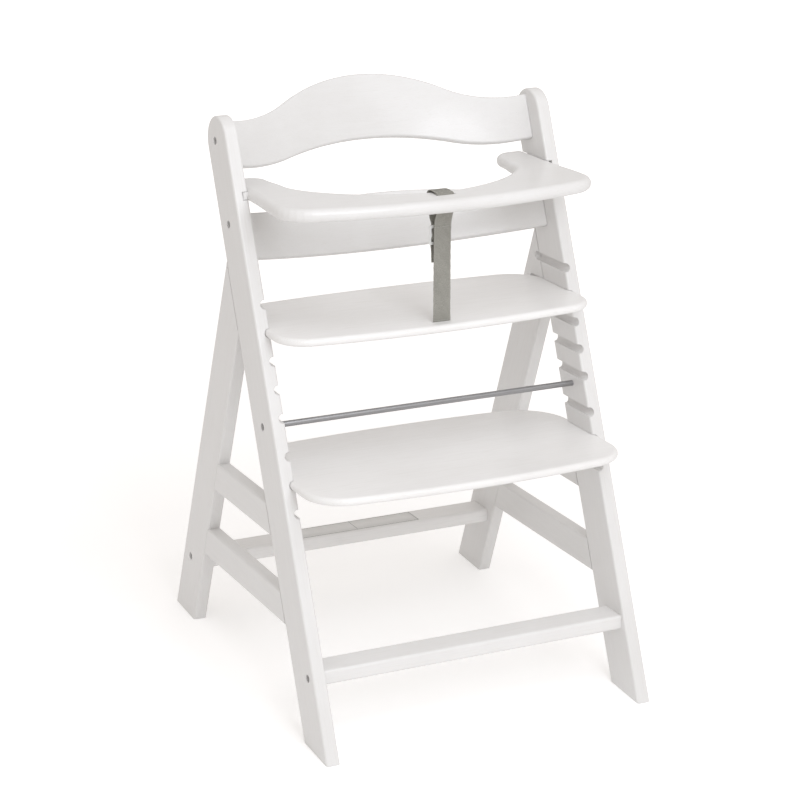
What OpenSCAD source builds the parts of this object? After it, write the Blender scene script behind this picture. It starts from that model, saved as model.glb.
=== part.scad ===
// Baby high chair of painted wood: leaning side frames carry a seat, a foot board and a tray
// in grooves, with a bent backrest behind and a webbing strap between the seat and the tray.
// Millimetres, +Z up. The origin is on the floor in the middle of the footprint.
// The front of the chair faces -Y. Left is the -X side and right the +X side.

/* [Frame] */
// Width over the outer faces of the posts
chair_w = 480; // [440:10:520]
// Depth of the footprint on the floor
chair_d = 550; // [540:5:560]
// Thickness of the posts, rear legs and side rails
frame_t = 19; // [19:1:24]
// Width of the posts and rear legs, measured square to their length
post_w = 68; // [64:1:72]
// Backward lean of the posts
post_lean = 25.5; // [25:0.5:26]
// Forward lean of the rear legs
leg_lean = 18.9; // [18.5:0.1:19.3]
// Height of the centre of the posts' round tops
post_top_z = 732; // [722:1:742]
// Radius of the rounded edges of the frame
edge_r = 3; // [1:0.5:4]
// Height of the side rails
rail_h = 42; // [36:1:46]
// Height of the upper side rails' centre line at the middle of the chair
upper_rail_z = 262; // [255:1:265]
// Height of the lower side rails' centre line at the middle of the chair
lower_rail_z = 152; // [145:1:160]
// Depth of the stretchers from front to back
stretcher_d = 45; // [40:1:48]
// Height of the stretchers
stretcher_h = 20; // [18:1:24]
// Height of the stretchers' centre lines
stretcher_z = 96; // [94:1:100]

/* [Boards and grooves] */
// Slope of the boards, grooves, rails and stretchers, up towards the front
board_tilt = 3.5; // [3:0.1:4]
// Thickness of the seat and the foot board
board_t = 11; // [10:0.5:11]
// Height of a groove
groove_h = 11.6; // [11.6:0.1:12]
// Depth of a groove
groove_depth = 8; // [7:0.5:9]
// Height of the top groove where it meets the front of its post
top_groove_z = 544; // [542:1:546]
// Height from one groove to the next
groove_pitch = 34; // [33:1:35]
// Height between the two grooves on either side of the clamp bar
bar_gap = 45; // [44:1:46]
// Groove that holds the seat, counted down from the top groove
seat_row = 1; // [1:1:1]
// Groove that holds the foot board, counted down from the top groove
foot_row = 6; // [6:1:6]
// Depth of the seat along its middle
seat_d = 219; // [215:1:222]
// Depth of the foot board along its middle
foot_d = 268; // [262:1:272]

/* [Tray] */
// Thickness of the tray
tray_t = 18; // [17:1:19]
// Height of the tray's middle plane where it meets the front of the posts
tray_z = 674; // [670:1:676]
// Thickness of the tongues that slide in the posts' grooves
tongue_t = 10; // [9:0.5:11]
// Distance from the front of the tray to the tips of its wings
tray_d = 245; // [242:1:248]
// Half the width of the hollow for the child
belly_half_w = 165; // [160:1:168]

/* [Backrest] */
// Thickness of the bent boards
back_t = 14; // [12:1:16]
// Height of the boards at their ends, measured along the posts
back_h = 62; // [58:1:64]
// Radius of the bent boards' front faces
back_r = 452; // [440:1:470]
// Rise of the upper board's top edge in the middle
crest_rise = 58.6; // [50:0.2:62]
// Rise of the upper board's bottom edge in the middle
arch_rise = 31.2; // [26:0.2:34]
// Rise of the lower board's top edge in the middle
low_crest_rise = 17; // [14:0.5:20]

/* [Hardware] */
// Diameter of the clamp bar between the posts
bar_dia = 8; // [8:0.5:10]
// Height of the clamp bar
bar_z = 389; // [387:1:391]
// Diameter of the sinks for the bolt heads
sink_dia = 10.6; // [10.6:0.1:12]
// Depth of the sinks for the bolt heads
sink_depth = 10; // [9:0.5:11]

/* [Strap] */
// Width of the webbing
strap_w = 25; // [20:1:30]
// Thickness of the webbing
strap_t = 1.6; // [1.2:0.1:1.8]
// Width of the slots that the webbing passes
slot_w = 28; // [26:1:34]

/* [Hidden] */

$fn = 64;
paint = [0.94, 0.94, 0.93];
steel = [0.62, 0.62, 0.62];
dark_steel = [0.2, 0.2, 0.21];
beech = [0.80, 0.66, 0.48];
webbing = [0.47, 0.47, 0.44];
pale_plastic = [0.88, 0.88, 0.86];
eps = 0.01;
far = 900;
cut_extra = 10;
below_floor = 200;
round_steps = 12;

// Frame geometry in side view: y runs to the rear, z up
slope = tan(board_tilt);
inner_x = chair_w / 2 - frame_t;
side_x = chair_w / 2 - frame_t / 2;
post_run = post_w / cos(post_lean);
leg_run = post_w / cos(leg_lean);
lean_sum = tan(post_lean) + tan(leg_lean);
join_top_z = (chair_d - post_run) / lean_sum;
join_low_z = (chair_d - post_run - leg_run) / lean_sum;

function post_front(z) = -chair_d / 2 + z * tan(post_lean);
function post_rear(z) = post_front(z) + post_run;
function leg_rear(z) = chair_d / 2 - z * tan(leg_lean);
function leg_front(z) = leg_rear(z) - leg_run;

// The posts' own frame leans with them: n runs square to the posts, v along them
function along_post(y, z) = y * sin(post_lean) + z * cos(post_lean);
function across_post(y, z) = y * cos(post_lean) - z * sin(post_lean);
function from_post(n, v) = [
    n * cos(post_lean) + v * sin(post_lean),
    v * cos(post_lean) - n * sin(post_lean)
];
post_front_n = across_post(-chair_d / 2, 0);
post_mid_n = post_front_n + post_w / 2;
post_top_v = along_post(post_front(post_top_z) + post_run / 2, post_top_z);

// Grooves: five above the clamp bar and three below it
rows = 8;
rows_above_bar = 5;
groove_r = groove_h / 2;
leg_wall = 20;
function groove_z(row) =
    top_groove_z - row * groove_pitch - (row >= rows_above_bar ? bar_gap - groove_pitch : 0);
function line_z(z, y) = z - slope * (y - post_front(z));
function reaches_leg(row) =
    let (z = line_z(groove_z(row), post_rear(groove_z(row)))) z > join_low_z && z < join_top_z;

// Boards: centre planes and outlines seen from above
board_half_w = inner_x + groove_depth - 0.5;
seat_z = groove_z(seat_row);
foot_z = groove_z(foot_row);
seat_front_y = -114;
seat_front_bow = 1440;
seat_front_r = 45;
seat_rear_r = 60;
foot_front_y = -222;
foot_front_bow = 1620;
foot_front_r = 55;
foot_rear_r = 75;
rear_bow = 2150;
// The tray stands a little to the left, within its side play in the grooves
tray_x = -2;
tray_front_y = -128;
tray_half_w = inner_x + 5.5;
tray_rear_half_w = inner_x - 0.5;
tongue_front_y = 46;
tongue_rear_y = 106;
tongue_gap = 0.3;
shoulder_gap = 0.6;
belly_mid_y = 45;
belly_depth = 115;
belly_power = 1.68;
wing_flare = 6;
wing_r = 25;

// Backrest: places along the posts and depth behind their front edges. A wave ends at its
// half width from the middle, and its share is the middle arc's part of the two radii.
crest_half_w = 215;
crest_share = 0.549;
arch_half_w = 200;
arch_share = 0.61;
low_crest_share = 0.5;
upper_back_v = 672.8;
lower_back_v = 549.2;
back_end_n = post_front_n + 28;
back_mid_n = back_end_n - sqrt(back_r * back_r - inner_x * inner_x);
screw_n = post_front_n + 38.5;
upper_screw_v = 711;
lower_screw_v = 599;

// Hardware: heads, shanks and where they sit
head_dia = 9.6;
head_h = 6;
key_size = 5.8;
key_depth = 3.2;
head_x = chair_w / 2 - sink_depth;
bolt_dia = 6;
bolt_end_x = 182;
bolt_bore = 6.4;
screw_dia = 5;
screw_end_x = 206;
clamp_dia = 5;
clamp_end_x = 200;
clamp_bore = 5.1;
nut_dia = 10;
nut_x = 190;
dowel_dia = 8;
dowel_half = 20;
front_bolt_shift = 13;
rear_bolt_shift = 9;
dowel_shift = -12;
bar_y = post_front(bar_z) + post_run / 2;
front_stretcher_y = post_front(stretcher_z) + post_run / 2 - 5;
rear_stretcher_y = leg_rear(stretcher_z) - leg_run / 2;
leg_dowel_x = side_x + 3.5;
leg_dowel_v = [26, 66];

// Strap: slots and the webbing's route in side view
strap_x = -4;
seat_slot_y = -93;
tray_slot_y = -95;
slot_gap = 4;
seat_slot_z = line_z(seat_z, seat_slot_y);
tray_slot_z = line_z(tray_z, tray_slot_y);
strap_route = [
    [seat_slot_y, seat_slot_z - board_t / 2],
    [seat_slot_y, seat_slot_z + 12],
    [-88, 620],
    [-88, 647.5]
];
loop_route = [
    [-88, 648.1],
    [-89.5, 657],
    [tray_slot_y, tray_slot_z - 11],
    [tray_slot_y, tray_slot_z + 8],
    [-92, tray_slot_z + 10.3],
    [-80, tray_slot_z + 10.6],
    [-68, tray_slot_z + 8.6],
    [-63, tray_slot_z + 3],
    [-63, tray_slot_z - 5],
    [-68, tray_slot_z - 13],
    [-82, 654],
    [-84, 644],
    [-83, 600]
];
slider_y = -83.4;
slider_z = 637;
slider_w = 30.4;
slider_h = 26;
slider_t = 2.4;
anchor_w = 42;
anchor_d = 10;
anchor_t = 4;

// ---------------------------------------------------------------- shared shapes

// Draws for the right side, or its mirror image for the left
module side(is_left) {
    mirror([is_left ? 1 : 0, 0, 0]) children();
}

// Turns a side view in y and z into a slab that starts at x
module slab(x, t) {
    translate([x, 0, 0]) rotate([90, 0, 90]) linear_extrude(t) children();
}

// Frame with its origin at y, z whose y axis runs along the boards' slope
module sloped(y, z) {
    translate([0, y, z]) rotate([-board_tilt, 0, 0]) children();
}

module in_post_frame() {
    rotate([-post_lean, 0, 0]) children();
}

// Cylinder along x from x0 to x1
module pin_x(d, x0, x1, y, z) {
    translate([x0, y, z]) rotate([0, 90, 0]) cylinder(h = x1 - x0, d = d);
}

// Rectangle with rounded corners, centred
module soft_rect(w, h, r) {
    square([w - 2 * r, h], center = true);
    square([w, h - 2 * r], center = true);
    for (x = [-1, 1], y = [-1, 1])
        translate([x * (w / 2 - r), y * (h / 2 - r)]) circle(r);
}

function reversed(list) = [for (i = [len(list) - 1:-1:0]) list[i]];

// Points along an arc, without its first point
function arc(c, r, from, to, steps) =
    [for (i = [1:steps]) let (a = from + (to - from) * i / steps) c + r * [cos(a), sin(a)]];

// Closed outline from its right half, which runs from the front middle to the rear middle
function mirrored(half) =
    concat(half, [for (p = reversed(half)) if (p[0] > eps) [-p[0], p[1]]]);

// Centre of a corner arc that touches the side line at half_w and the inside of a bowed edge.
// way is -1 at the front and 1 at the rear.
function corner_centre(half_w, bow_c, bow_r, r, way) =
    let (x = half_w - r) [x, bow_c[1] + way * sqrt((bow_r - r) * (bow_r - r) - x * x)];

// Quads over one half of a face: each spans from the front stretch of the outline to the rear one
function face_quads(half, index) =
    [for (i = [0:half / 2 - 2])
        [index(i), index(i + 1), index(half - 2 - i), index(half - 1 - i)]];

// Board with fully rounded edges, from its mirrored outline: rings of the outline, each drawn
// in towards the top and the bottom face. Half the outline has an even number of points.
module round_board(outline, t) {
    r = t / 2;
    count = len(outline);
    half = count / 2 + 1;
    last = round_steps * count;
    inward = [for (i = [0:count - 1])
        let (d = outline[(i + 1) % count] - outline[(i + count - 1) % count])
        [-d[1], d[0]] / norm(d)];
    points = [for (k = [0:round_steps], i = [0:count - 1])
        let (
            a = -90 + 180 * k / round_steps,
            p = outline[i] + r * (1 - cos(a)) * inward[i]
        )
        [p[0], p[1], r * sin(a)]];
    sides = [for (k = [0:round_steps - 1], i = [0:count - 1], part = [0, 1])
        let (
            a = k * count + i,
            b = k * count + (i + 1) % count
        )
        part == 0 ? [a, a + count, b + count] : [a, b + count, b]];
    right = function (i) i;
    left = function (i) (count - i) % count;
    right_quads = face_quads(half, right);
    left_quads = [for (quad = face_quads(half, left)) reversed(quad)];
    bottom = concat(right_quads, left_quads);
    top = [for (quad = bottom) reversed([for (i = quad) last + i])];
    polyhedron(points, concat(bottom, top, sides));
}

// ---------------------------------------------------------------- side frames

module bolt_bore_x(d, y, z) {
    pin_x(d, inner_x - 1, chair_w / 2 + 1, y, z);
    pin_x(sink_dia, head_x, chair_w / 2 + 1, y, z);
}

// Cross-section of a board groove cut into the right post
module groove_section() {
    translate([inner_x - 1, -groove_r]) square([1 + groove_depth - groove_r, groove_h]);
    translate([inner_x + groove_depth - groove_r, 0]) circle(groove_r);
}

// Cross-section of the square groove for the tray's tongue
module tongue_section() {
    height = tongue_t + 2 * tongue_gap;
    translate([inner_x - 1, -height / 2]) square([1 + groove_depth, height]);
}

// Groove whose centre is at height z on the front of the post, open at both ends
module open_groove(z) {
    sloped(post_front(z), z) translate([0, post_run + cut_extra, 0]) rotate([90, 0, 0])
        linear_extrude(post_run + 2 * cut_extra) children();
}

// Groove that ends in a round inside the rear leg
module closed_groove(row) {
    z = groove_z(row);
    run = leg_rear(line_z(z, leg_rear(z))) - leg_wall - groove_r - post_front(z);
    sloped(post_front(z), z) translate([0, run, 0]) {
        rotate([90, 0, 0]) linear_extrude(run + cut_extra) groove_section();
        translate([inner_x - 1, 0, 0]) rotate([0, 90, 0]) rotate_extrude() intersection() {
            union() {
                square([groove_r, 1 + groove_depth - groove_r]);
                translate([0, 1 + groove_depth - groove_r]) circle(groove_r);
            }
            square([groove_r, 1 + groove_depth]);
        }
    }
}

module closed_grooves() {
    for (row = [0:rows - 1]) if (reaches_leg(row)) closed_groove(row);
}

module open_grooves() {
    for (row = [0:rows - 1]) if (!reaches_leg(row)) open_groove(groove_z(row)) groove_section();
    open_groove(tray_z) tongue_section();
}

module above_floor() {
    translate([-far, -far, 0]) cube(2 * far);
}

// Leaning post with a round top
module post_blank() {
    intersection() {
        above_floor();
        in_post_frame() translate([side_x, post_mid_n, 0]) {
            translate([0, 0, -below_floor]) linear_extrude(below_floor + post_top_v)
                soft_rect(frame_t, post_w, edge_r);
            translate([0, 0, post_top_v]) rotate([0, 90, 0]) rotate_extrude() intersection() {
                soft_rect(post_w, frame_t, edge_r);
                translate([0, -frame_t]) square(2 * frame_t + post_w);
            }
        }
    }
}

module rail_dowel_pins(d) {
    for (z0 = [upper_rail_z, lower_rail_z]) {
        front_y = rail_front_y(z0);
        rear_y = rail_rear_y(z0);
        for (y = [front_y, rear_y])
            sloped(y, z0 - slope * y) translate([side_x, -dowel_half, 0])
                rotate([-90, 0, 0]) cylinder(h = 2 * dowel_half, d = d);
    }
}

// Where a rail's centre line meets the rear of the post and the front of the rear leg
function rail_front_y(z0) = (post_rear(0) + z0 * tan(post_lean)) / (1 + slope * tan(post_lean));
function rail_rear_y(z0) = (leg_front(0) - z0 * tan(leg_lean)) / (1 - slope * tan(leg_lean));

module leg_dowel_pins(d) {
    start_v = along_post(post_rear(join_low_z), join_low_z);
    in_post_frame() for (v = leg_dowel_v)
        translate([leg_dowel_x, post_front_n + post_w - dowel_half, start_v + v])
            rotate([-90, 0, 0]) cylinder(h = 2 * dowel_half, d = d);
}

module stretcher_dowel_pin(d, y) {
    sloped(y, stretcher_z) translate([inner_x - dowel_half, dowel_shift * sign(y), 0])
        rotate([0, 90, 0]) cylinder(h = 1.5 * dowel_half, d = d);
}

function stretcher_bolt(y) =
    let (shift = y < 0 ? -front_bolt_shift : rear_bolt_shift)
    [y + shift * cos(board_tilt), stretcher_z - shift * sin(board_tilt)];

module post(is_left) {
    upper = from_post(screw_n, upper_screw_v);
    lower = from_post(screw_n, lower_screw_v);
    front = stretcher_bolt(front_stretcher_y);
    color(paint) side(is_left) difference() {
        post_blank();
        closed_grooves();
        open_grooves();
        bolt_bore_x(screw_dia, upper[0], upper[1]);
        bolt_bore_x(screw_dia, lower[0], lower[1]);
        bolt_bore_x(clamp_bore, bar_y, bar_z);
        bolt_bore_x(bolt_bore, front[0], front[1]);
        stretcher_dowel_pin(dowel_dia, front_stretcher_y);
        rail_dowel_pins(dowel_dia);
        leg_dowel_pins(dowel_dia);
    }
}

module leg_blank() {
    intersection() {
        slab(inner_x - cut_extra, frame_t + 2 * cut_extra) polygon([
            [leg_front(0), 0], [leg_rear(0), 0],
            [post_rear(join_top_z), join_top_z], [post_rear(join_low_z), join_low_z]
        ]);
        translate([side_x, leg_rear(0) - leg_run / 2, 0]) rotate([leg_lean, 0, 0])
            translate([0, 0, -below_floor]) linear_extrude(far) soft_rect(frame_t, post_w, edge_r);
    }
}

module rear_leg(is_left) {
    rear = stretcher_bolt(rear_stretcher_y);
    color(paint) side(is_left) difference() {
        leg_blank();
        closed_grooves();
        bolt_bore_x(bolt_bore, rear[0], rear[1]);
        stretcher_dowel_pin(dowel_dia, rear_stretcher_y);
        rail_dowel_pins(dowel_dia);
        leg_dowel_pins(dowel_dia);
    }
}

module rail(is_left, z0) {
    color(paint) side(is_left) difference() {
        intersection() {
            slab(inner_x - cut_extra, frame_t + 2 * cut_extra) polygon([
                [post_rear(0), 0], [leg_front(0), 0], [post_rear(join_low_z), join_low_z]
            ]);
            sloped(0, z0) translate([side_x, far / 2, 0]) rotate([90, 0, 0])
                linear_extrude(far) soft_rect(frame_t, rail_h, edge_r);
        }
        rail_dowel_pins(dowel_dia);
    }
}

// ---------------------------------------------------------------- cross members

module both_sides() {
    children();
    mirror([1, 0, 0]) children();
}

module nut_pin(y) {
    at = stretcher_bolt(y);
    translate([nut_x, at[0], at[1]]) rotate([-board_tilt, 0, 0])
        translate([0, 0, -stretcher_h / 2 - eps]) cylinder(h = stretcher_h - 3, d = nut_dia);
}

module stretcher(y) {
    at = stretcher_bolt(y);
    color(paint) difference() {
        sloped(y, stretcher_z) rotate([90, 0, 90])
            linear_extrude(2 * inner_x, center = true) soft_rect(stretcher_d, stretcher_h, edge_r + 1);
        both_sides() {
            pin_x(bolt_bore, bolt_end_x - 4, inner_x + 1, at[0], at[1]);
            stretcher_dowel_pin(dowel_dia, y);
            nut_pin(y);
        }
    }
}

module clamp_bar() {
    color(steel) difference() {
        pin_x(bar_dia, -inner_x, inner_x, bar_y, bar_z);
        both_sides() pin_x(clamp_bore, clamp_end_x - 4, inner_x + 1, bar_y, bar_z);
    }
}

// ---------------------------------------------------------------- backrest

// Rise of a wavy edge at x: an arc over the middle runs into a hollow arc on each side
function wave(x, rise, half, share) =
    let (
        turn = 2 * atan(rise / half),
        radii = half / sin(turn),
        top_r = share * radii,
        foot_r = (1 - share) * radii,
        u = abs(x)
    )
    u > half ? 0
    : u < top_r * sin(turn) ? rise - top_r + sqrt(top_r * top_r - u * u)
    : foot_r - sqrt(foot_r * foot_r - (half - u) * (half - u));

// Bent slab between the posts, from its outline in x and v
module bent_board() {
    depth = back_r + back_t;
    in_post_frame() intersection() {
        translate([0, back_mid_n, 0]) difference() {
            cylinder(h = far, r = back_r + back_t, $fn = 180);
            translate([0, 0, -1]) cylinder(h = far + 2, r = back_r, $fn = 180);
        }
        translate([0, back_mid_n + depth + 1, 0]) rotate([90, 0, 0])
            linear_extrude(depth - sqrt(back_r * back_r - inner_x * inner_x) + 12) children();
    }
}

module upper_backrest() {
    steps = 30;
    xs = [for (i = [-steps:steps]) inner_x * i / steps];
    top = [for (x = xs)
        [x, upper_back_v + back_h + wave(x, crest_rise, crest_half_w, crest_share)]];
    bottom = [for (x = xs) [x, upper_back_v + wave(x, arch_rise, arch_half_w, arch_share)]];
    at = from_post(screw_n, upper_screw_v);
    color(paint) difference() {
        bent_board() polygon(concat(bottom, reversed(top)));
        both_sides() pin_x(screw_dia, screw_end_x, inner_x + 1, at[0], at[1]);
    }
}

module lower_backrest() {
    steps = 24;
    low_v = lower_back_v;
    top = [for (i = [-steps:steps])
        let (x = inner_x * i / steps)
        [x, low_v + back_h + wave(x, low_crest_rise, crest_half_w, low_crest_share)]];
    at = from_post(screw_n, lower_screw_v);
    color(paint) difference() {
        bent_board() polygon(concat([[-inner_x, low_v], [inner_x, low_v]], reversed(top)));
        both_sides() pin_x(screw_dia, screw_end_x, inner_x + 1, at[0], at[1]);
    }
}

// ---------------------------------------------------------------- boards

// Outline with bowed front and rear edges and its own corner radius at each end
function board_outline(front_y, depth, front_bow, front_r, rear_r) =
    let (
        front_c = [0, front_y + front_bow],
        rear_c = [0, front_y + depth - rear_bow],
        front_corner = corner_centre(board_half_w, front_c, front_bow, front_r, -1),
        rear_corner = corner_centre(board_half_w, rear_c, rear_bow, rear_r, 1),
        front_turn = acos(front_corner[0] / (front_bow - front_r)),
        rear_turn = acos(rear_corner[0] / (rear_bow - rear_r))
    )
    mirrored(concat(
        [[0, front_y]],
        arc(front_c, front_bow, -90, -front_turn, 10),
        arc(front_corner, front_r, -front_turn, 0, 10),
        arc(rear_corner, rear_r, 0, rear_turn, 12),
        arc(rear_c, rear_bow, rear_turn, 90, 9)
    ));

// Slot for the webbing through a board of thickness t
module webbing_slot(y, t) {
    translate([strap_x, y, -t]) linear_extrude(2 * t) soft_rect(slot_w, slot_gap, slot_gap / 2 - eps);
}

module seat_board() {
    color(paint) sloped(0, line_z(seat_z, 0)) difference() {
        round_board(
            board_outline(seat_front_y, seat_d, seat_front_bow, seat_front_r, seat_rear_r),
            board_t
        );
        webbing_slot(seat_slot_y, board_t);
    }
}

module foot_board() {
    color(paint) sloped(0, line_z(foot_z, 0)) round_board(
        board_outline(foot_front_y, foot_d, foot_front_bow, foot_front_r, foot_rear_r),
        board_t
    );
}

// Right half of the hollow for the child, from its open end to its front middle
function belly_half(steps) =
    [for (i = [0:steps]) let (a = 90 * i / steps, p = 2 / belly_power) [
        belly_half_w * pow(cos(a), p),
        belly_mid_y - belly_depth * pow(sin(a), p)
    ]];

// Inner edge of a wing, which swings out a little from the hollow to the wing's round tip
function wing_edge(tip_y, steps) =
    [for (i = [1:steps]) let (u = 1 - i / (steps + 1)) [
        belly_half_w + wing_flare * (1 - cos(180 * u)) / 2,
        belly_mid_y + (tip_y - belly_mid_y) * u
    ]];

// Side of the tray, which draws in from its front corner to fit between the posts
function tray_side(corner_y, steps) =
    [for (i = [1:steps]) let (u = i / steps) [
        tray_half_w + (tray_rear_half_w - tray_half_w) * (1 - cos(180 * u)) / 2,
        corner_y + (tongue_front_y - corner_y) * u
    ]];

// Bowed front, two wings with rounded tips and the hollow between them
function tray_outline() =
    let (
        bow_r = 740,
        front_r = 46,
        tip_r = 10,
        rear_y = tray_front_y + tray_d,
        bow_c = [0, tray_front_y + bow_r],
        corner = corner_centre(tray_half_w, bow_c, bow_r, front_r, -1),
        turn = acos(corner[0] / (bow_r - front_r)),
        wing_c = [belly_half_w + wing_flare + wing_r, rear_y - wing_r]
    )
    mirrored(concat(
        [[0, tray_front_y]],
        arc(bow_c, bow_r, -90, -turn, 12),
        arc(corner, front_r, -turn, 0, 6),
        tray_side(corner[1], 4),
        [[tray_rear_half_w, rear_y - tip_r]],
        arc([tray_rear_half_w - tip_r, rear_y - tip_r], tip_r, 0, 90, 6),
        [[wing_c[0], rear_y]],
        arc(wing_c, wing_r, 90, 180, 8),
        wing_edge(wing_c[1], 4),
        belly_half(16)
    ));

// What the right post takes out of the tray: all behind the post's front, but for the tongue
module tray_shoulder() {
    low = tray_z - post_w;
    high = tray_z + post_w;
    difference() {
        slab(inner_x - shoulder_gap, frame_t) polygon([
            [post_front(low) - shoulder_gap, low], [far, low],
            [far, high], [post_front(high) - shoulder_gap, high]
        ]);
        sloped(0, line_z(tray_z, 0)) translate([0, -far, -tongue_t / 2]) cube([far, 2 * far, tongue_t]);
    }
}

// Tongue on the tray's right side that slides in the post's groove
module tray_tongue() {
    root = 16;
    length = tongue_rear_y - tongue_front_y;
    translate([tray_half_w - root / 2, tongue_front_y + length / 2, 0])
        linear_extrude(tongue_t - 2 * eps, center = true) soft_rect(root, length, edge_r);
}

module tray_board() {
    color(paint) difference() {
        sloped(0, line_z(tray_z, 0)) difference() {
            translate([tray_x, 0, 0]) {
                round_board(tray_outline(), tray_t);
                both_sides() tray_tongue();
            }
            webbing_slot(tray_slot_y, tray_t);
        }
        both_sides() tray_shoulder();
    }
}

// ---------------------------------------------------------------- bolts, nuts and dowels

module cap_screw(is_left, d, end_x, y, z) {
    color(dark_steel) side(is_left) difference() {
        union() {
            pin_x(d, end_x, head_x + eps, y, z);
            pin_x(head_dia, head_x, head_x + head_h, y, z);
        }
        translate([head_x + head_h - key_depth, y, z]) rotate([0, 90, 0])
            cylinder(h = key_depth + 1, d = key_size, $fn = 6);
    }
}

module back_screw(is_left, v) {
    at = from_post(screw_n, v);
    cap_screw(is_left, screw_dia, screw_end_x, at[0], at[1]);
}

module frame_bolt(is_left, y) {
    at = stretcher_bolt(y);
    cap_screw(is_left, bolt_dia, bolt_end_x, at[0], at[1]);
}

module barrel_nut(is_left, y) {
    at = stretcher_bolt(y);
    color(steel) side(is_left) difference() {
        nut_pin(y);
        pin_x(bolt_dia, nut_x - nut_dia, nut_x + nut_dia, at[0], at[1]);
    }
}

module stretcher_dowel(is_left, y) {
    color(beech) side(is_left) stretcher_dowel_pin(dowel_dia, y);
}

module leg_dowels(is_left) {
    color(beech) side(is_left) leg_dowel_pins(dowel_dia);
}

module rail_dowels(is_left) {
    color(beech) side(is_left) rail_dowel_pins(dowel_dia);
}

// ---------------------------------------------------------------- strap

// Outline of a band of thickness t along a route
function band(route, t) =
    let (
        last = len(route) - 1,
        side_points = function (s) [
            for (i = [0:last])
                let (
                    a = route[max(i - 1, 0)],
                    b = route[min(i + 1, last)],
                    d = (b - a) / norm(b - a)
                )
                route[i] + s * t / 2 * [-d[1], d[0]]
        ]
    )
    concat(side_points(1), reversed(side_points(-1)));

module webbing_band(route) {
    color(webbing) slab(strap_x - strap_w / 2, strap_w) polygon(band(route, strap_t));
}

// Flat three-bar slider behind the webbing
module strap_slider() {
    bar = 4;
    window_h = (slider_h - 3 * bar) / 2;
    color(pale_plastic) translate([strap_x, slider_y + strap_t + slider_t / 2, slider_z])
        rotate([90, 0, 0]) linear_extrude(slider_t, center = true) difference() {
            soft_rect(slider_w, slider_h, 3);
            for (s = [-1, 1])
                translate([0, s * (window_h + bar) / 2])
                    square([strap_w + 0.6, window_h], center = true);
        }
}

// Stop below the seat that the webbing's end is sewn around
module strap_anchor() {
    color(pale_plastic)
        sloped(seat_slot_y, seat_slot_z) translate([strap_x, 0, -(board_t + anchor_t) / 2])
            rotate([90, 0, 90]) linear_extrude(anchor_w, center = true)
                soft_rect(anchor_d, anchor_t, anchor_t / 2 - eps);
}

post(true);  // left_post
post(false);  // right_post
rear_leg(true);  // left_rear_leg
rear_leg(false);  // right_rear_leg
rail(true, upper_rail_z);  // left_upper_rail
rail(false, upper_rail_z);  // right_upper_rail
rail(true, lower_rail_z);  // left_lower_rail
rail(false, lower_rail_z);  // right_lower_rail
stretcher(front_stretcher_y);  // front_stretcher
stretcher(rear_stretcher_y);  // rear_stretcher
upper_backrest();
lower_backrest();
seat_board();
foot_board();
tray_board();
clamp_bar();
cap_screw(true, clamp_dia, clamp_end_x, bar_y, bar_z);  // left_clamp_bolt
cap_screw(false, clamp_dia, clamp_end_x, bar_y, bar_z);  // right_clamp_bolt
back_screw(true, upper_screw_v);  // left_upper_back_screw
back_screw(false, upper_screw_v);  // right_upper_back_screw
back_screw(true, lower_screw_v);  // left_lower_back_screw
back_screw(false, lower_screw_v);  // right_lower_back_screw
frame_bolt(true, front_stretcher_y);  // left_front_bolt
frame_bolt(false, front_stretcher_y);  // right_front_bolt
frame_bolt(true, rear_stretcher_y);  // left_rear_bolt
frame_bolt(false, rear_stretcher_y);  // right_rear_bolt
barrel_nut(true, front_stretcher_y);  // left_front_nut
barrel_nut(false, front_stretcher_y);  // right_front_nut
barrel_nut(true, rear_stretcher_y);  // left_rear_nut
barrel_nut(false, rear_stretcher_y);  // right_rear_nut
stretcher_dowel(true, front_stretcher_y);  // left_front_dowel
stretcher_dowel(false, front_stretcher_y);  // right_front_dowel
stretcher_dowel(true, rear_stretcher_y);  // left_rear_dowel
stretcher_dowel(false, rear_stretcher_y);  // right_rear_dowel
leg_dowels(true);  // left_leg_dowels
leg_dowels(false);  // right_leg_dowels
rail_dowels(true);  // left_rail_dowels
rail_dowels(false);  // right_rail_dowels
webbing_band(strap_route);  // crotch_strap
webbing_band(loop_route);  // strap_loop
strap_slider();
strap_anchor();
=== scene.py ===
"""Looks of the baby high chair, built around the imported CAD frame. Metres, +Z up."""

import math

import bmesh
import bpy
from mathutils import Matrix, Vector


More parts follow.
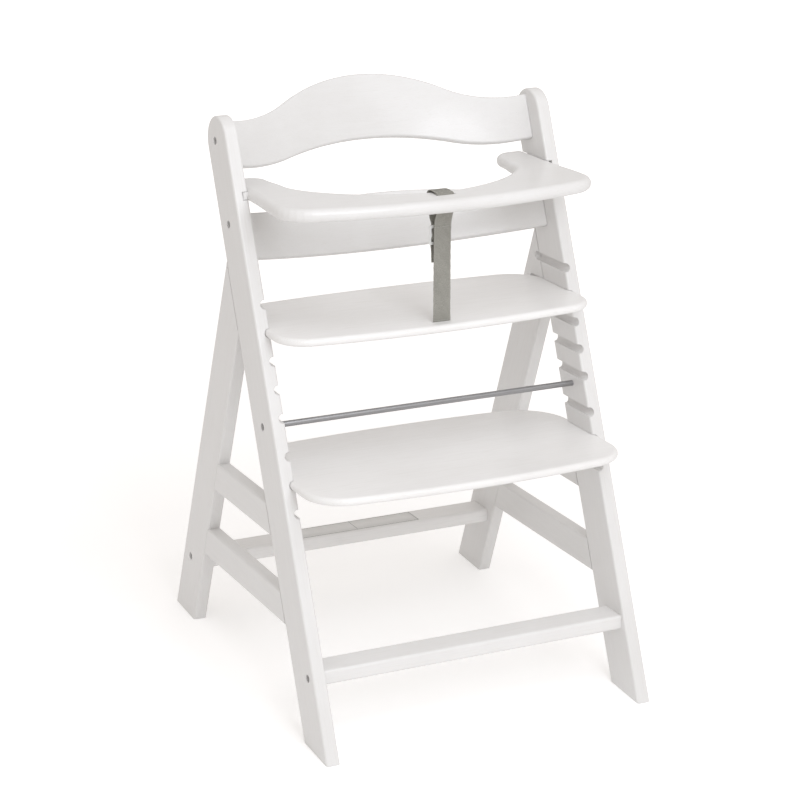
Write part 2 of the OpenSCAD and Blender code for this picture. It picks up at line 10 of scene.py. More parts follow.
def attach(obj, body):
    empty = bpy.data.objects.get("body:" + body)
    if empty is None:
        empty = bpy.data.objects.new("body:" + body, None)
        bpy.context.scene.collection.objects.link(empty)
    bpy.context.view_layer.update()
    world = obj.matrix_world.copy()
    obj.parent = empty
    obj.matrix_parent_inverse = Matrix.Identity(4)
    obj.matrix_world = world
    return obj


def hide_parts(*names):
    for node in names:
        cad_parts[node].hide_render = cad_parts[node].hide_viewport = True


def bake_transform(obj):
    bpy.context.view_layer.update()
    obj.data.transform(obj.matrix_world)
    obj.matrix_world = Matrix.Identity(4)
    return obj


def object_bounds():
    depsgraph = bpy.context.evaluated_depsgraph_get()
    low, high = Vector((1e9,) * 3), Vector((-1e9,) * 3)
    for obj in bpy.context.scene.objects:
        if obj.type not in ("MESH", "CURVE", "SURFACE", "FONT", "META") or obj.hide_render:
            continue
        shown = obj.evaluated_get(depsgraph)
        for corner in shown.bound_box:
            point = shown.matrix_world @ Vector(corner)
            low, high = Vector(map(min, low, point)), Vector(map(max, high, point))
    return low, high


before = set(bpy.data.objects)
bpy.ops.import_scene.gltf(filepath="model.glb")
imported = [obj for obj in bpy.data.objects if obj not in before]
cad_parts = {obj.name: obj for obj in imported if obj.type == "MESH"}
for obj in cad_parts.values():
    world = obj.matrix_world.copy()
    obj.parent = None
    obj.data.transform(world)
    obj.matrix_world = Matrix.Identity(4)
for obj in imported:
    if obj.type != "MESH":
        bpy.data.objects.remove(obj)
cad_low, cad_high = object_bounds()
scene = bpy.context.scene

MM = 0.001

# The chair's own angles: the boards rise to the front, the posts lean back, the legs forward
BOARD_TILT = math.radians(3.5)
POST_LEAN = math.radians(25.5)
LEG_LEAN = math.radians(18.9)

# Turns that bring the grain of a piece onto the texture's x axis
GRAIN_X = (0, 0, 0)
GRAIN_POST = (POST_LEAN - math.pi / 2, 0, -math.pi / 2)
GRAIN_LEG = (math.pi / 2 - LEG_LEAN, 0, -math.pi / 2)
GRAIN_Y = (-BOARD_TILT, 0, -math.pi / 2)


# ------------------------------------------------------------------ camera


# The eye stands off the middle of the chair's height, in metres; the angles are its aim
EYE_OFFSET = Vector((-1.4262, -2.9311, 1.1957))
EYE_AZIMUTH = math.radians(-25.68)
EYE_ELEVATION = math.radians(20.415)
EYE_ROLL = math.radians(1.4375)
LENS, SENSOR = 114.82, 36.0


def make_camera():
    """Camera at eye height, to the left of the chair's front."""
    back = Vector((
        math.sin(EYE_AZIMUTH) * math.cos(EYE_ELEVATION),
        -math.cos(EYE_AZIMUTH) * math.cos(EYE_ELEVATION),
        math.sin(EYE_ELEVATION),
    ))
    side = Vector((math.cos(EYE_AZIMUTH), math.sin(EYE_AZIMUTH), 0.0))
    up = back.cross(side)
    right = math.cos(EYE_ROLL) * side + math.sin(EYE_ROLL) * up
    data = bpy.data.cameras.new("camera")
    data.lens = LENS
    data.sensor_width = SENSOR
    camera = bpy.data.objects.new("camera", data)
    camera.matrix_world = Matrix((right, back.cross(right), back)).transposed().to_4x4()
    camera.location = Vector((0, 0, (cad_low.z + cad_high.z) / 2)) + EYE_OFFSET
    scene.collection.objects.link(camera)
    scene.camera = camera


# ------------------------------------------------------------------ materials


class Graph:
    """Short calls for building a node material."""

    def __init__(self, name):
        self.material = bpy.data.materials.new(name)
        self.material.use_nodes = True
        self.tree = self.material.node_tree
        self.shader = self.tree.nodes["Principled BSDF"]

    def add(self, kind, inputs=None, **settings):
        node = self.tree.nodes.new(kind)
        for key, value in settings.items():
            setattr(node, key, value)
        for key, value in (inputs or {}).items():
            self.feed(node.inputs[key], value)
        return node

    def feed(self, socket, value):
        """Links a socket's value, or sets a plain one."""
        if isinstance(value, bpy.types.NodeSocket):
            self.tree.links.new(value, socket)
        else:
            socket.default_value = value

    def set(self, **inputs):
        """Sets the shader's inputs, with _ for the spaces in their names."""
        for key, value in inputs.items():
            self.feed(self.shader.inputs[key.replace("_", " ")], value)

    def place(self, turn=(0, 0, 0), scale=(1, 1, 1)):
        """The object's own coordinates, turned and then scaled."""
        source = self.add("ShaderNodeTexCoord").outputs["Object"]
        turned = self.add("ShaderNodeMapping", {"Vector": source, "Rotation": turn})
        scaled = self.add("ShaderNodeMapping", {"Vector": turned.outputs[0], "Scale": scale})
        return scaled.outputs[0]

    def noise(self, vector, scale, detail=3.0, roughness=0.5):
        node = self.add("ShaderNodeTexNoise", {
            "Vector": vector, "Scale": scale, "Detail": detail, "Roughness": roughness})
        return node.outputs["Fac"]

    def ramp(self, value, stops):
        """Colour ramp from (position, colour) stops."""
        node = self.add("ShaderNodeValToRGB", {"Fac": value})
        ramp = node.color_ramp
        ramp.elements[0].position, ramp.elements[-1].position = stops[0][0], stops[-1][0]
        for position, _ in stops[1:-1]:
            ramp.elements.new(position)
        for element, (_, colour) in zip(ramp.elements, stops):
            element.color = (*colour, 1)
        return node.outputs["Color"]

    def remap(self, value, low, high, to_low, to_high):
        node = self.add("ShaderNodeMapRange", {
            "Value": value, "From Min": low, "From Max": high,
            "To Min": to_low, "To Max": to_high})
        return node.outputs["Result"]

    def math(self, operation, a, b=0.0, c=0.008):
        """c is the tolerance of COMPARE."""
        return self.add("ShaderNodeMath", {0: a, 1: b, 2: c}, operation=operation).outputs[0]

    def total(self, *values):
        """Sum of several values."""
        result = values[0]
        for value in values[1:]:
            result = self.math("ADD", result, value)
        return result

    def times(self, a, b):
        return self.math("MULTIPLY", a, b)

    def split(self, vector):
        """The x and y of a vector."""
        node = self.add("ShaderNodeSeparateXYZ", {0: vector})
        return node.outputs[0], node.outputs[1]

    def mix(self, factor, a, b):
        node = self.add("ShaderNodeMix", data_type="RGBA")
        for socket, value in zip((node.inputs[0], node.inputs[6], node.inputs[7]), (factor, a, b)):
            self.feed(socket, value)
        return node.outputs[2]

    def bump(self, height, distance, strength=1.0, normal=None):
        node = self.add("ShaderNodeBump", {
            "Height": height, "Distance": distance, "Strength": strength})
        if normal is not None:
            self.feed(node.inputs["Normal"], normal)
        return node.outputs["Normal"]


SOFT_EDGE = 0.8 * MM


def painted_wood(name, turn, seed, painted_light_level):
    """White satin lacquer on beech: the grain shows through faintly as a fine long relief.
    turn brings the grain's direction onto the texture's x axis, and the last argument scales the
    paint's colour per piece: painted light and shade that stands in for how brightly each piece is
    lit."""
    g = Graph(name)
    long_grain = g.place(turn, (6.0, 110.0, 110.0))
    fine_grain = g.place(turn, (28.0, 900.0, 900.0))
    plain = g.place(turn)
    grain = g.noise(long_grain, 1.0 + 0.01 * seed, 4.0, 0.6)
    pores = g.noise(fine_grain, 1.0, 2.0, 0.5)
    peel = g.noise(plain, 420.0, 2.0, 0.5)
    cloud = g.noise(plain, 9.0 + 0.1 * seed, 2.0, 0.5)
    # Both colours are scaled by the per-piece factor: painted light and shade for how brightly the
    # piece is lit.
    white = tuple(painted_light_level * c for c in (0.795, 0.788, 0.780))
    shade = tuple(painted_light_level * c for c in (0.757, 0.748, 0.737))
    colour = g.ramp(g.mix(0.35, cloud, grain), [(0.3, shade), (0.62, white)])
    colour = g.mix(g.remap(pores, 0.32, 0.45, 0.22, 0.0), colour, (0.66, 0.64, 0.60, 1))
    g.set(Base_Color=colour, Roughness=g.remap(cloud, 0.3, 0.7, 0.34, 0.46))
    g.set(Coat_Weight=0.3, Coat_Roughness=0.14, IOR=1.5)
    edge = g.add("ShaderNodeBevel", {"Radius": SOFT_EDGE}, samples=4).outputs[0]
    normal = g.bump(grain, 0.00022, 1.0, edge)
    normal = g.bump(pores, 0.00006, 1.0, normal)
    normal = g.bump(peel, 0.00004, 1.0, normal)
    g.set(Normal=normal)
    return g.material


def raw_beech():
    """Bare beech, for the dowels."""
    g = Graph("raw_beech")
    grain = g.noise(g.place(scale=(18.0, 300.0, 300.0)), 1.0, 4.0, 0.6)
    flecks = g.noise(g.place(scale=(90.0, 900.0, 900.0)), 1.0, 2.0)
    colour = g.ramp(grain, [(0.3, (0.50, 0.33, 0.19)), (0.7, (0.66, 0.47, 0.30))])
    colour = g.mix(g.remap(flecks, 0.6, 0.7, 0.0, 0.5), colour, (0.36, 0.21, 0.11, 1))
    g.set(Base_Color=colour, Roughness=g.remap(grain, 0.3, 0.7, 0.6, 0.75))
    g.set(Normal=g.bump(grain, 0.0002))
    return g.material


def brushed_metal(name, colour, roughness, scale, metallic=1.0, specular=0.5):
    """Metal with fine brushing: scale stretches the brushing along the piece."""
    g = Graph(name)
    shift = 0.06  # how far the roughness wanders
    lines = g.noise(g.place(scale=scale), 1.0, 3.0, 0.6)
    cloud = g.noise(g.place(), 40.0, 2.0)
    dark = tuple(c * 0.8 for c in colour)
    g.set(Base_Color=g.ramp(lines, [(0.35, dark), (0.65, colour)]))
    g.set(Metallic=metallic, Specular_IOR_Level=specular)
    mottle = g.mix(0.5, lines, cloud)
    g.set(Roughness=g.remap(mottle, 0.3, 0.7, roughness - shift, roughness + shift))
    g.set(Normal=g.bump(lines, 0.00004))
    return g.material


WEAVE_MAP = "weave"
WARP_YARNS = 28
SELVEDGE_AT = 0.435  # how far off the middle the pale warp yarns lie, in widths


def woven_webbing():
    """Grey polyester webbing: weft ribs are in the mesh, warp yarns come from the UV map."""
    g = Graph("webbing")
    across, along = g.split(g.add("ShaderNodeUVMap", uv_map=WEAVE_MAP).outputs[0])
    yarn = g.math("FLOOR", g.times(across, WARP_YARNS))
    warp = g.math("ABSOLUTE", g.math("SINE", g.times(across, WARP_YARNS * math.pi)))
    sway = g.times(g.noise(g.place(scale=(260, 40, 160)), 1.0, 2.0), 1.1)
    stagger = g.times(g.math("PINGPONG", yarn, 1.0), 0.18)
    phase = g.total(along, sway, stagger)
    rib = g.math("ABSOLUTE", g.math("SINE", g.times(phase, math.pi)))
    fuzz = g.noise(g.place(), 2600.0, 2.0, 0.6)
    stain = g.noise(g.place(), 35.0, 3.0, 0.5)
    height = g.total(g.times(warp, 0.22), g.times(rib, 0.62), g.times(fuzz, 0.2))
    # The colour follows the weave's height: painted shade, near black, down between the ribs and
    # yarns, and painted highlight on their crests.
    colour = g.ramp(height, [
        (0.12, (0.022, 0.021, 0.018)),
        (0.42, (0.110, 0.107, 0.094)),
        (0.75, (0.400, 0.390, 0.350)),
    ])
    colour = g.mix(g.remap(stain, 0.35, 0.7, 0.0, 0.3), colour, (0.165, 0.160, 0.142, 1))
    off_middle = g.math("ABSOLUTE", g.math("SUBTRACT", across, 0.5))
    selvedge = g.times(g.math("COMPARE", off_middle, SELVEDGE_AT), rib)
    colour = g.mix(g.times(selvedge, 0.55), colour, (0.44, 0.43, 0.40, 1))
    g.set(Base_Color=colour, Roughness=g.remap(fuzz, 0.3, 0.7, 0.72, 0.9))
    g.set(Sheen_Weight=0.25, Sheen_Roughness=0.5, Sheen_Tint=(0.7, 0.7, 0.66, 1))
    g.set(Normal=g.bump(height, 0.00012, 0.9))
    return g.material


def sewing_thread():
    """Twisted polyester thread, lighter than the webbing."""
    g = Graph("thread")
    twist = g.noise(g.place((0, 0.6, 0), (2500.0, 600.0, 600.0)), 1.0, 2.0)
    g.set(Base_Color=g.ramp(twist, [(0.35, (0.36, 0.36, 0.33)), (0.65, (0.52, 0.52, 0.48))]))
    g.set(Roughness=0.65, Sheen_Weight=0.2, Normal=g.bump(twist, 0.00008))
    return g.material


def pale_plastic():
    """Moulded acetal with a fine spark-eroded skin."""
    g = Graph("pale_plastic")
    skin = g.noise(g.place(), 1500.0, 2.0, 0.5)
    cloud = g.noise(g.place(), 60.0, 2.0)
    g.set(Base_Color=g.ramp(cloud, [(0.35, (0.78, 0.78, 0.77)), (0.65, (0.83, 0.83, 0.82))]))
    g.set(Roughness=g.remap(skin, 0.3, 0.7, 0.36, 0.5), Subsurface_Weight=0.06)
    g.set(Subsurface_Radius=(0.002, 0.002, 0.0018), Normal=g.bump(skin, 0.00003))
    return g.material


# ------------------------------------------------------------------ stage


FLOOR_SIZE = 60.0
LIGHT_AIM = Vector((0, 0, 0.4))
COOL = (0.95, 0.985, 1.04)


def area_light(name, place, size, energy):
    """Round soft light, aimed at the middle of the chair."""
    data = bpy.data.lights.new(name, "AREA")
    data.shape = "DISK"
    data.size = size
    data.energy = energy
    data.color = COOL
    lamp = bpy.data.objects.new(name, data)
    lamp.location = place
    lamp.rotation_mode = "QUATERNION"
    lamp.rotation_quaternion = (Vector(place) - LIGHT_AIM).to_track_quat("Z", "Y")
    scene.collection.objects.link(lamp)


def make_stage():
    """Pale floor, white surround and soft studio light."""
    bpy.ops.mesh.primitive_plane_add(size=FLOOR_SIZE)
    floor = bpy.context.object
    floor.name = "floor"
    g = Graph("pale_floor")
    cloud = g.noise(g.place(), 3.0, 2.0)
    pale = g.ramp(cloud, [(0.3, (0.93, 0.93, 0.93)), (0.7, (0.94, 0.94, 0.94))])
    g.set(Base_Color=pale, Roughness=0.85, Emission_Color=(1.0, 0.98, 0.96, 1))
    # The floor glows more away from the chair, so the chair's own shadow stays
    away = g.add("ShaderNodeVectorMath", {0: g.place()}, operation="LENGTH").outputs["Value"]
    seen = g.add("ShaderNodeLightPath").outputs["Is Camera Ray"]
    glow = g.times(seen, g.remap(away, 0.6, 3.2, 0.18, 0.6))
    g.set(Emission_Strength=g.math("ADD", glow, 0.06))
    floor.data.materials.append(g.material)

    world = bpy.data.worlds.new("studio")
    world.use_nodes = True
    background = world.node_tree.nodes["Background"]
    background.inputs["Color"].default_value = (1.0, 0.96, 0.93, 1)
    background.inputs["Strength"].default_value = 0.71
    scene.world = world
    scene.view_settings.view_transform = "Standard"

    area_light("key", (-0.15, -2.3, 1.8), 1.1, 16)
    area_light("top", (0.0, -1.5, 3.0), 3.0, 26)


# ------------------------------------------------------------------ mesh helpers


def new_piece(name, mesh, material, body, node=None):
    """Adds a mesh as a piece that rides on a body and may stand for a CAD node."""
    piece = bpy.data.objects.new(name, mesh)
    scene.collection.objects.link(piece)
    mesh.materials.append(material)
    for face in mesh.polygons:
        face.use_smooth = True
    if body:
        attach(piece, body)
    if node:
        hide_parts(node)
    return piece


def settle_normals(mesh, merge=False):
    """Turns all faces outwards, after joining points that coincide."""
    tidy = bmesh.new()
    tidy.from_mesh(mesh)
    if merge:
        bmesh.ops.remove_doubles(tidy, verts=tidy.verts, dist=1e-7)
    bmesh.ops.recalc_face_normals(tidy, faces=tidy.faces)
    tidy.to_mesh(mesh)
    tidy.free()


def lofted(name, rings):
    """Mesh through closed rings of equal length, capped at both ends."""
    mesh = bpy.data.meshes.new(name)
    count = len(rings[0])
    points = [point for ring in rings for point in ring]
    faces = []
    for i in range(len(rings) - 1):
        for k in range(count):
            a, b = i * count + k, i * count + (k + 1) % count
            faces.append((a, b, b + count, a + count))
    faces.append(tuple(reversed(range(count))))
    faces.append(tuple(range((len(rings) - 1) * count, len(rings) * count)))
    mesh.from_pydata(points, [], faces)
    settle_normals(mesh)
    return mesh


# ------------------------------------------------------------------ backrest

# Board sections lie in the plane of the posts: n runs out of their front, v up along them
POST_FRONT_N = -275 * math.cos(POST_LEAN)
BACK_R, BACK_T, BACK_H = 452.0, 14.0, 62.0  # bend, thickness and least height
BACK_SET_IN = 28.0  # from the posts' front to the board's at its ends
BACK_EDGE_R = 3.2
INNER_X = 221.0  # half the gap between the posts
BACK_MID_N = POST_FRONT_N + BACK_SET_IN - math.sqrt(BACK_R ** 2 - INNER_X ** 2)


def wave(x, rise, half, share):
    """Rise of a wavy edge at x, as in the CAD model: a crest arc that runs into a foot arc.
    share is the crest's part of both radii."""
    turn = 2 * math.atan(rise / half)
    radii = half / math.sin(turn)
    top_r, foot_r, u = share * radii, (1 - share) * radii, abs(x)
    if u > half:
        return 0.0
    if u < top_r * math.sin(turn):
        return rise - top_r + math.sqrt(top_r ** 2 - u ** 2)
    return foot_r - math.sqrt(foot_r ** 2 - (half - u) ** 2)


def make_backrest(node, low_v, top_wave, bottom_wave, seed):
    """Bent board with softly rounded edges, swept across the chair."""
    steps, corner_steps = 110, 6
    rings = []
    for i in range(-steps, steps + 1):
        x = INNER_X * i / steps
        near = BACK_MID_N + math.sqrt(BACK_R ** 2 - x * x)
        far = BACK_MID_N + math.sqrt((BACK_R + BACK_T) ** 2 - x * x)
        bottom, top = low_v + bottom_wave(x), low_v + BACK_H + top_wave(x)
        r = BACK_EDGE_R
        ring = []
        corners = ((near + r, bottom + r, 180), (far - r, bottom + r, 270),
                   (far - r, top - r, 0), (near + r, top - r, 90))
        for n, v, start in corners:
            for k in range(corner_steps + 1):
                turn = math.radians(start + 90 * k / corner_steps)
                a, b = n + r * math.cos(turn), v + r * math.sin(turn)
                ring.append((
                    x * MM,
                    (a * math.cos(POST_LEAN) + b * math.sin(POST_LEAN)) * MM,
                    (b * math.cos(POST_LEAN) - a * math.sin(POST_LEAN)) * MM,
                ))
        rings.append(ring)
    # The backrest's paint is scaled to 0.94 of full: painted shade for how it is lit.
    material = painted_wood("paint_" + node, GRAIN_X, seed, 0.94)
    new_piece(node + "_board", lofted(node, rings), material, "frame", node)


def make_backrests():
    make_backrest(
        "upper_backrest", 672.8,
        lambda x: wave(x, rise=58.6, half=215, share=0.549),
        lambda x: wave(x, rise=31.2, half=200, share=0.61), 14)
    make_backrest(
        "lower_backrest", 549.2,
        lambda x: wave(x, rise=17.0, half=215, share=0.5),
        lambda x: 0.0, 15)


# ------------------------------------------------------------------ strap

STRAP_X = -4.0
STRAP_W, STRAP_T = 25.0, 1.5
RIB = 1.45  # pitch of the weft ribs
RIB_RELIEF = 0.16
RIB_STEPS = 6
ACROSS = [-1.0, -0.975, -0.92, -0.8, -0.6, -0.3, 0.0, 0.3, 0.6, 0.8, 0.92, 0.975, 1.0]

# Places in y and z, in mm
SEAT_SLOT = (-93.0, 513.7)
TRAY_SLOT = (-95.0, 682.7)
SLIDER = (-81.0, 634.8)
SPLIT_Z = 570.0
SEAM_Y, SEAM_Z = -87.9, 647.6

ROUTE_STEPS = 40
FRONTWARDS = (0, -1, 0)


def slope(outer, inner, outer_k, inner_k):
    """Slope where two spans meet, which is the inner span's own at a route's end."""
    if outer_k == 0:
        return inner
    both = outer_k + inner_k
    return outer / outer_k * inner_k * inner_k / both + inner * outer_k / both


def smooth_route(points, pitch):
    """Evenly spaced points along a smooth curve through the given ones."""
    dense = []
    for i in range(len(points) - 1):
        p0, p1 = points[max(i - 1, 0)], points[i]
        p2, p3 = points[i + 1], points[min(i + 2, len(points) - 1)]
        k1, k2 = math.dist(p0, p1) ** 0.5, math.dist(p1, p2) ** 0.5
        k3 = math.dist(p2, p3) ** 0.5
        for step in range(ROUTE_STEPS):
            t = step / ROUTE_STEPS
            weights = (2 * t ** 3 - 3 * t ** 2 + 1, t ** 3 - 2 * t ** 2 + t,
                       3 * t ** 2 - 2 * t ** 3, t ** 3 - t ** 2)
            place = []
            for a, b, c, d in zip(p0, p1, p2, p3):
                terms = (b, slope(b - a, c - b, k1, k2), c, slope(d - c, c - b, k3, k2))
                place.append(sum(w * term for w, term in zip(weights, terms)))
            dense.append(tuple(place))
    dense.append(points[-1])
    run = [0.0]
    for a, b in zip(dense, dense[1:]):
        run.append(run[-1] + math.dist(a, b))
    count = max(2, round(run[-1] / pitch))
    even, j = [], 0
    for i in range(count + 1):
        s = run[-1] * i / count
        while j < len(run) - 2 and run[j + 1] < s:
            j += 1
        f = (s - run[j]) / (run[j + 1] - run[j])
        even.append(tuple(a + (b - a) * f for a, b in zip(dense[j], dense[j + 1])))
    return even


def webbing_mesh(name, route):
    """Woven band along a route in y and z: ribs across it and a fine saw-tooth selvedge."""
    path = smooth_route(route, RIB / RIB_STEPS)
    count = len(ACROSS)
    points, uvs, faces = [], [], []
    last = len(path) - 1
    for i, (y, z) in enumerate(path):
        ay, az = path[max(i - 1, 0)]
        by, bz = path[min(i + 1, last)]
        size = math.hypot(by - ay, bz - az)
        ny, nz = -(bz - az) / size, (by - ay) / size
        phase = i / RIB_STEPS
        rib = abs(math.sin(math.pi * phase))
        tooth = 0.22 * (1 - rib) + 0.12 * math.sin(0.7 * phase)
        for face in (1, -1):
            for u in ACROSS:
                half = STRAP_W / 2 - tooth * abs(u) ** 6
                lift = STRAP_T / 2 * (1 - abs(u) ** 9) ** 0.5
                lift += RIB_RELIEF * (rib - 0.5) * (1 - abs(u) ** 12)
                points.append((
                    (STRAP_X + half * u) * MM,
                    (y + face * ny * lift) * MM,
                    (z + face * nz * lift) * MM,
                ))
                uvs.append(((u + 1) / 2, phase))
    row = 2 * count
    for i in range(last):
        for k in range(count - 1):
            a, b = i * row + k, i * row + count + k
            faces.append((a, a + 1, a + 1 + row, a + row))
            faces.append((b, b + row, b + 1 + row, b + 1))
    for end in (0, last):
        for k in range(count - 1):
            a, b = end * row + k, end * row + count + k
            quad = (a, b, b + 1, a + 1)
            faces.append(quad if end == 0 else tuple(reversed(quad)))
    mesh = bpy.data.meshes.new(name)
    mesh.from_pydata(points, [], faces)
    layer = mesh.uv_layers.new(name=WEAVE_MAP)
    for loop in mesh.loops:
        layer.data[loop.index].uv = uvs[loop.vertex_index]
    settle_normals(mesh, merge=True)
    return mesh


def stitch_row(name, y, z):
    """Short bowed stitches in a row on the webbing's front: their ends dip into it."""
    pitch, count, length, radius = 2.3, 10, 1.5, 0.3
    rings_each, sides = 9, 8
    across, out = Vector((1, 0, 0)), Vector(FRONTWARDS)
    side = across.cross(out)
    tidy = bmesh.new()
    for i in range(count):
        middle = Vector((STRAP_X, y, z)) + across * pitch * (i - (count - 1) / 2)
        rings = []
        for k in range(rings_each):
            s = k / (rings_each - 1) * 2 - 1
            centre = middle + across * length / 2 * s + out * radius * (0.9 - 2.2 * s ** 4)
            ring = []
            for j in range(sides):
                a = 2 * math.pi * j / sides
                rim = radius * (math.cos(a) * out + math.sin(a) * side)
                ring.append(tidy.verts.new((centre + rim) * MM))
            rings.append(ring)
        for a, b in zip(rings, rings[1:]):
            for j in range(sides):
                tidy.faces.new((a[j], a[(j + 1) % sides], b[(j + 1) % sides], b[j]))
        tidy.faces.new(reversed(rings[0]))
        tidy.faces.new(rings[-1])
    bmesh.ops.recalc_face_normals(tidy, faces=tidy.faces)
    mesh = bpy.data.meshes.new(name)
    tidy.to_mesh(mesh)
    tidy.free()
    return mesh


def rounded_plate(name, loops, thickness, edge, place):
    """Upright plate with rounded edges, from loops (centre x, centre z, width, height, corner).
    The first loop is its outline, and the others are its windows."""
    corner_steps = 8
    curve = bpy.data.curves.new(name, "CURVE")
    curve.dimensions = "2D"
    curve.fill_mode = "BOTH"
    curve.extrude = thickness / 2 - edge
    curve.bevel_depth = edge
    curve.bevel_resolution = 4
    curve.offset = -edge
    for cx, cz, w, h, r in loops:
        outline = []
        for sx, sz, start in ((1, -1, -90), (1, 1, 0), (-1, 1, 90), (-1, -1, 180)):
            for k in range(corner_steps + 1):
                a = math.radians(start + 90 * k / corner_steps)
                outline.append((cx + sx * (w / 2 - r) + r * math.cos(a),
                                cz + sz * (h / 2 - r) + r * math.sin(a)))
        spline = curve.splines.new("POLY")
        spline.points.add(len(outline) - 1)
        spline.use_cyclic_u = True
        for point, (x, z) in zip(spline.points, outline):
            point.co = (x, z, 0, 1)
    holder = bpy.data.objects.new(name + "_curve", curve)
    scene.collection.objects.link(holder)
    bpy.context.view_layer.update()
    evaluated = holder.evaluated_get(bpy.context.evaluated_depsgraph_get())
    mesh = bpy.data.meshes.new_from_object(evaluated)
    mesh.name = name
    bpy.data.objects.remove(holder)
    bpy.data.curves.remove(curve)
    mesh.materials.clear()
    upright = Matrix.Rotation(math.pi / 2, 4, "X") @ Matrix.Scale(MM, 4)
    mesh.transform(Matrix.Translation(Vector(place) * MM) @ upright)
    settle_normals(mesh, merge=True)
    return mesh


def make_strap():
    """Webbing from its stop below the seat to its slider below the tray."""
    fabric = woven_webbing()
    plastic = pale_plastic()
    thread = sewing_thread()
    sy, sz = SEAT_SLOT
    ty, tz = TRAY_SLOT
    ly, lz = SLIDER
    under = sz - 5.5  # underside of the seat

    # From its sewn end round the stop below the seat, up through the seat's slot
    low_route = [
        (sy + 1.0, sz + 4), (sy + 1.0, under + 0.6), (sy + 4.0, under - 0.7),
        (sy + 7.6, under - 1.0), (sy + 8.6, under - 2.7), (sy + 7.2, under - 4.6),
        (sy + 3.6, under - 4.9), (sy + 0.2, under - 4.4), (sy - 0.9, under - 2.4),
        (sy - 1.0, under + 1.5), (sy - 0.9, sz + 6), (sy + 0.2, 535),
        (-91.7, SPLIT_Z - 12), (-91.0, SPLIT_Z),
    ]
    low = new_piece("strap_low", webbing_mesh("strap_low", low_route),
                    fabric, None, "crotch_strap")
    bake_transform(low)

    # On up to the seam
    high_route = [
        (-91.0, SPLIT_Z), (-90.2, SPLIT_Z + 14), (-88.6, 615), (-88.0, 636), (SEAM_Y, SEAM_Z)]
    high = new_piece("strap_high", webbing_mesh("strap_high", high_route),
                     fabric, None, "crotch_strap")
    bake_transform(high)

    # Over the tray's edge and back down through the slider
    loop_route = [
        (SEAM_Y, SEAM_Z), (-89.2, 657), (ty + 0.4, tz - 12), (ty - 0.2, tz), (ty - 0.2, tz + 6),
        (ty + 2.6, tz + 9.7), (-83, tz + 10.5), (-72, tz + 9.9), (-65.4, tz + 7),
        (-62.8, tz + 1.4), (-62.8, tz - 5), (-66, tz - 12), (-73.5, lz + 22),
        (ly + 2.1, lz + 14.5), (ly + 2.2, lz + 11), (ly + 0.4, lz + 5.8), (ly - 1.95, lz),
        (ly + 0.4, lz - 5.8), (ly + 2.2, lz - 11), (ly + 2.0, lz - 15),
        (ly - 0.5, lz - 26), (ly - 1.4, lz - 37),
    ]
    new_piece("webbing_loop", webbing_mesh("webbing_loop", loop_route),
              fabric, "tray", "strap_loop")
    new_piece("seam_stitches", stitch_row("seam_stitches", SEAM_Y - STRAP_T / 2, SEAM_Z),
              thread, "tray")
    new_piece("end_stitches", stitch_row("end_stitches", sy - 0.9 - STRAP_T / 2, sz + 7.6),
              thread, "seat")

    slider_w, slider_h, bar, gap_w = 31.6, 26.6, 4.0, STRAP_W + 0.4
    window = (slider_h - 3 * bar) / 2
    slider = rounded_plate("webbing_slider", [
        (0, 0, slider_w, slider_h, 2.0),
        (0, (window + bar) / 2, gap_w, window, 1.0),
        (0, -(window + bar) / 2, gap_w, window, 1.0),
    ], 2.4, 0.9, (STRAP_X, ly, lz))
    new_piece("webbing_slider", slider, plastic, "tray", "strap_slider")
    stop = rounded_plate("strap_stop", [(0, 0, 42.0, 2.4, 1.15)], 6.4, 0.9,
                         (STRAP_X, sy + 3.8, under - 2.7))
    new_piece("strap_stop", stop, plastic, "seat", "strap_anchor")


# ------------------------------------------------------------------ label

LABEL_W, LABEL_D, LABEL_T = 220.0, 37.0, 0.12
STRETCHER_Z, STRETCHER_T = 96.0, 20.0
LABEL_Y = 275 - STRETCHER_Z * math.tan(LEG_LEAN) - 34 / math.cos(LEG_LEAN)
INK_HALF = 0.45 * MM
DIVIDER_X = 11 * MM


def label_film():
    """Matt film with a thin printed border and one printed divider, and nothing else on it."""
    g = Graph("label_film")
    x, y = g.split(g.place())
    y = g.math("SUBTRACT", y, LABEL_Y * MM)
    sides = g.math("COMPARE", g.math("ABSOLUTE", x), (LABEL_W / 2 - 1.2) * MM, INK_HALF)
    ends = g.math("COMPARE", g.math("ABSOLUTE", y), (LABEL_D / 2 - 1.0) * MM, INK_HALF)
    divider = g.math("COMPARE", x, DIVIDER_X, INK_HALF * 0.8)
    ink = g.math("MAXIMUM", g.math("MAXIMUM", sides, ends), divider)
    fibre = g.noise(g.place(), 900.0, 3.0)
    paper = g.ramp(fibre, [(0.3, (0.77, 0.765, 0.75)), (0.7, (0.81, 0.805, 0.79))])
    g.set(Base_Color=g.mix(ink, paper, (0.30, 0.30, 0.29, 1)))
    g.set(Roughness=g.remap(fibre, 0.3, 0.7, 0.42, 0.5), Normal=g.bump(fibre, 0.00002))
    return g.material


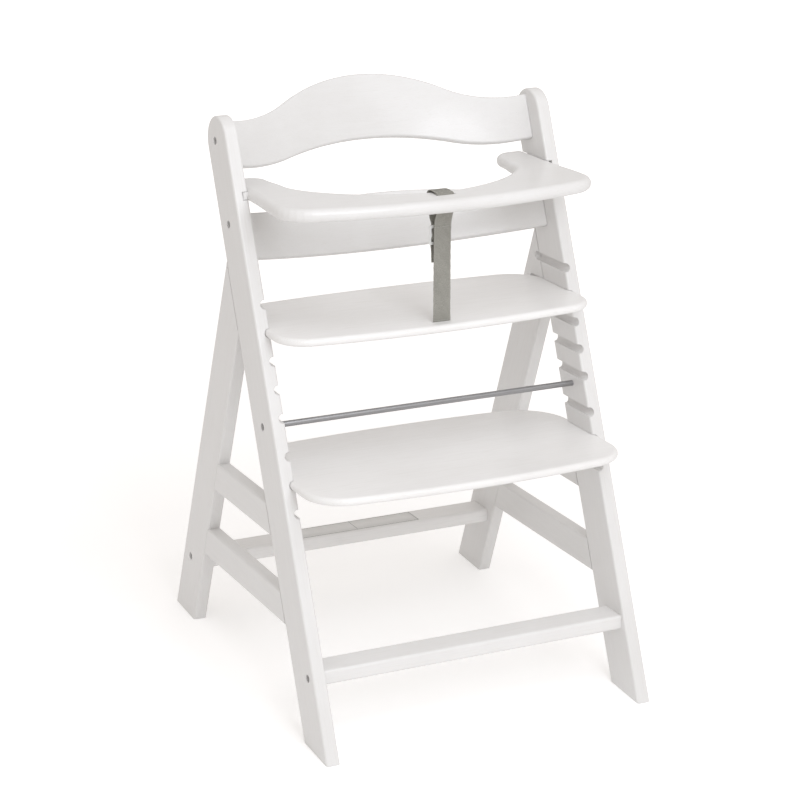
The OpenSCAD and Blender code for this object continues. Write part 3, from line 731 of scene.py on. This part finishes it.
def make_label():
    """Blank film label on the rear stretcher's top."""
    steps = 10
    rings = []
    for i in range(-steps, steps + 1):
        ring = []
        for d, h in ((-1, 0), (1, 0), (1, LABEL_T), (-1, LABEL_T)):
            y, z = d * LABEL_D / 2, STRETCHER_T / 2 + h
            ring.append((
                i / steps * LABEL_W / 2 * MM,
                (LABEL_Y + y * math.cos(BOARD_TILT) + z * math.sin(BOARD_TILT)) * MM,
                (STRETCHER_Z - y * math.sin(BOARD_TILT) + z * math.cos(BOARD_TILT)) * MM,
            ))
        rings.append(ring)
    new_piece("blank_label", lofted("blank_label", rings), label_film(), "frame")


# ------------------------------------------------------------------ CAD nodes' looks


def finish_with(material, *names):
    """Puts one material on CAD nodes, which keep their shape."""
    for name in names:
        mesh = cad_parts[name].data
        mesh.materials.clear()
        mesh.materials.append(material)


GRAIN_OF = {
    "left_post": GRAIN_POST, "right_post": GRAIN_POST,
    "left_rear_leg": GRAIN_LEG, "right_rear_leg": GRAIN_LEG,
    "left_upper_rail": GRAIN_Y, "right_upper_rail": GRAIN_Y,
    "left_lower_rail": GRAIN_Y, "right_lower_rail": GRAIN_Y,
    "front_stretcher": GRAIN_X, "rear_stretcher": GRAIN_X,
    "seat_board": GRAIN_X, "foot_board": GRAIN_X, "tray_board": GRAIN_X,
}

# Per-piece scale on the paint's colour, as painted light and shade for how brightly each piece is
# lit: the seat and foot boards are painted whiter than the frame
FRAME_PAINTED_LIGHT_LEVEL = 0.96
PAINTED_LIGHT_LEVEL_OF = {
    "seat_board": 1.09, "foot_board": 1.08, "tray_board": 0.97,
    "rear_stretcher": 1.08, "front_stretcher": 1.0,
}


def dress_wood():
    for seed, (name, turn) in enumerate(GRAIN_OF.items()):
        # The piece's paint lightness: painted light and shade, set per piece.
        painted_light_level = PAINTED_LIGHT_LEVEL_OF.get(name, FRAME_PAINTED_LIGHT_LEVEL)
        finish_with(painted_wood("paint_" + name, turn, seed, painted_light_level), name)


def dress_hardware():
    beech = raw_beech()
    bar = brushed_metal("bar_steel", (0.42, 0.42, 0.43), 0.32, (4.0, 900.0, 900.0))
    zinc = brushed_metal("zinc_steel", (0.55, 0.56, 0.58), 0.35, (300.0, 300.0, 40.0))
    # Bolt and screw heads: black steel, drawn near black and barely reflecting. This is partly
    # their own colour and partly painted shade for the counterbores they sit in.
    black_and_hole_shade = brushed_metal("black_steel_and_hole_shade", (0.006, 0.006, 0.006), 0.65, (300.0, 300.0, 300.0),
                          metallic=0.1, specular=0.15)
    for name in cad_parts:
        if "dowel" in name:
            finish_with(beech, name)
        elif name.endswith("_nut"):
            finish_with(zinc, name)
        elif name.endswith(("_bolt", "_screw")):
            finish_with(black_and_hole_shade, name)
    finish_with(bar, "clamp_bar")


make_camera()
make_stage()
dress_wood()
dress_hardware()
make_backrests()
make_strap()
make_label()
